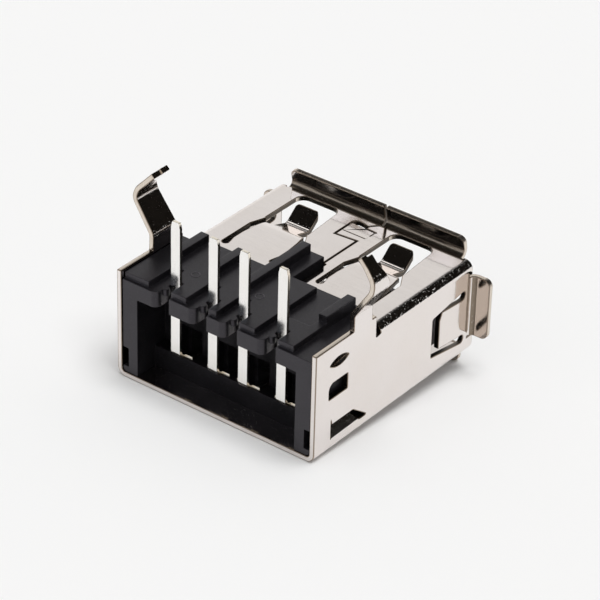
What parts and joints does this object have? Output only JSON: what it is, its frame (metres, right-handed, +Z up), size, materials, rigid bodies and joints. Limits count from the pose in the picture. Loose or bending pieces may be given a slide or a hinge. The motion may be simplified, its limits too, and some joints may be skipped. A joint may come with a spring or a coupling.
{
  "type": "usb-a socket",
  "caption": "Right-angle board-mount socket for a flat data plug: folded plated shell with spring fingers, lips and board-lock legs around a black housing with tongue and contact tails.",
  "frame": {"origin": "centre of the bounding box on its lowest plane, the outer edge of the table-side lip", "axes": "+X across the socket, the mouth faces -Y and the rear end with the tails faces +Y, +Z up with the board side and the tails pointing up as in the picture"},
  "size_m": [0.0154, 0.0142, 0.0121],
  "materials": {
    "shell_plate": "bright nickel plating",
    "housing_plastic": "fine matte moulding",
    "contact_plate": "bright tin plating over copper alloy"
  },
  "bodies": {
    "root": {"shell": "shell_plate", "housing": "housing_plastic", "contact_vbus": "contact_plate", "contact_data_minus": "contact_plate", "contact_data_plus": "contact_plate", "contact_ground": "contact_plate"}
  },
  "joints": []
}
